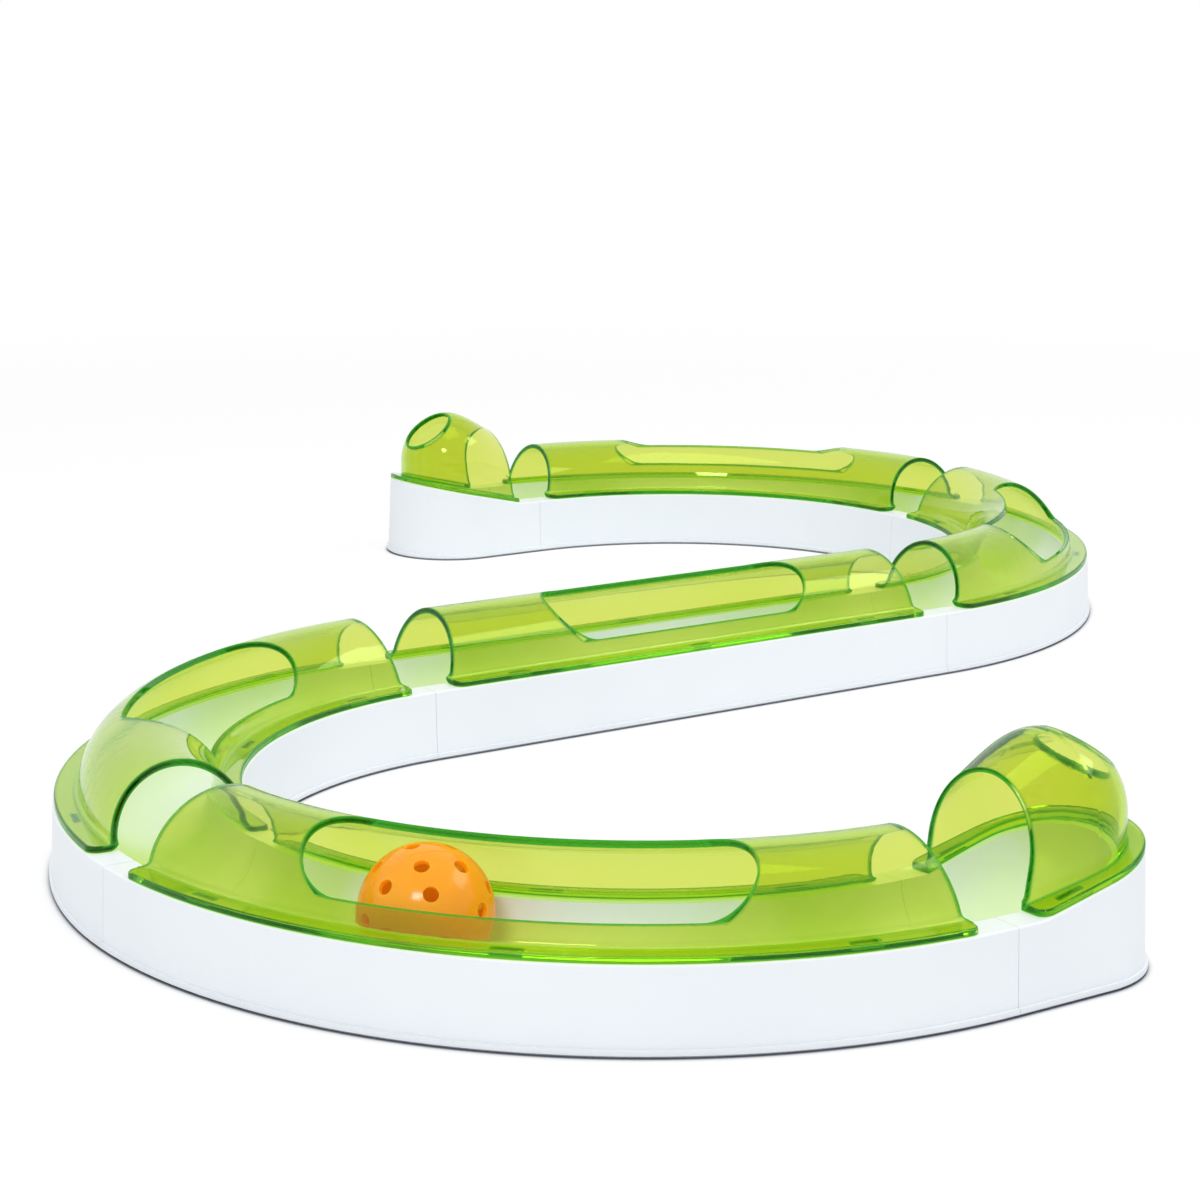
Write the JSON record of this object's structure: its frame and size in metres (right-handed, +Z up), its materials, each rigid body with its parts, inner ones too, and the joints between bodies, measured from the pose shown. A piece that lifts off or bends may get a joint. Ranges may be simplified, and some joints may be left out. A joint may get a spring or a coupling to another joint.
{
  "type": "cat ball track toy",
  "caption": "S-shaped floor track for cats: white trough modules under translucent green arched covers with windows, domed round ends and a perforated ball that rolls inside.",
  "frame": {"origin": "on the floor under the middle of the straight module, which is the centre of the S-shaped run", "axes": "+X along the straight module towards the right-hand bend, +Y across it towards the back end, +Z up"},
  "size_m": [0.6486, 0.7186, 0.0728],
  "materials": {
    "white_plastic": "satin moulded white plastic",
    "green_clear": "clear tinted green plastic, polished",
    "orange_plastic": "glossy moulded orange plastic",
    "bead_plastic": "plain moulded bead"
  },
  "bodies": {
    "track": {"front_end_base": "white_plastic", "front_bend_base": "white_plastic", "left_bend_base": "white_plastic", "straight_base": "white_plastic", "right_bend_base": "white_plastic", "back_bend_base": "white_plastic", "back_end_base": "white_plastic"},
    "front_end_cover": {"front_end_cover": "green_clear"},
    "front_bend_cover": {"front_bend_cover": "green_clear"},
    "left_bend_cover": {"left_bend_cover": "green_clear"},
    "straight_cover": {"straight_cover": "green_clear"},
    "right_bend_cover": {"right_bend_cover": "green_clear"},
    "back_bend_cover": {"back_bend_cover": "green_clear"},
    "back_end_cover": {"back_end_cover": "green_clear"},
    "bead": {"rattle_bead": "bead_plastic"},
    "ball": {"ball_front_half": "orange_plastic", "ball_back_half": "orange_plastic"}
  },
  "joints": [
    {"name": "front_end_cover_lift", "type": "slide", "parent": "track", "child": "front_end_cover", "axis": [-0.225, 0, 0.9744], "range_m": [0, 0.06]},
    {"name": "front_bend_cover_lift", "type": "slide", "parent": "track", "child": "front_bend_cover", "axis": [0, 0, 1], "range_m": [0, 0.06]},
    {"name": "left_bend_cover_lift", "type": "slide", "parent": "track", "child": "left_bend_cover", "axis": [0, 0, 1], "range_m": [0, 0.06]},
    {"name": "straight_cover_lift", "type": "slide", "parent": "track", "child": "straight_cover", "axis": [0, 0, 1], "range_m": [0, 0.06]},
    {"name": "right_bend_cover_lift", "type": "slide", "parent": "track", "child": "right_bend_cover", "axis": [0, 0, 1], "range_m": [0, 0.06]},
    {"name": "back_bend_cover_lift", "type": "slide", "parent": "track", "child": "back_bend_cover", "axis": [0, 0, 1], "range_m": [0, 0.06]},
    {"name": "back_end_cover_lift", "type": "slide", "parent": "track", "child": "back_end_cover", "axis": [0.225, 0, 0.9744], "range_m": [0, 0.06]},
    {"name": "ball_roll", "type": "hinge", "parent": "track", "child": "bead", "pos_m": [-0.128, -0.163, 0.0272], "axis": [0, 0, 1], "range_deg": [-122, 53.5]},
    {"name": "ball_spin", "type": "hinge", "parent": "bead", "child": "ball", "pos_m": [-0.26281, -0.25462, 0.0272], "axis": [-0.8271, -0.5621, 0], "range_deg": [-440, 1000]}
  ],
  "couplings": [
    {"joint": "ball_spin", "follows": "ball_roll", "ratio": -8.15}
  ]
}
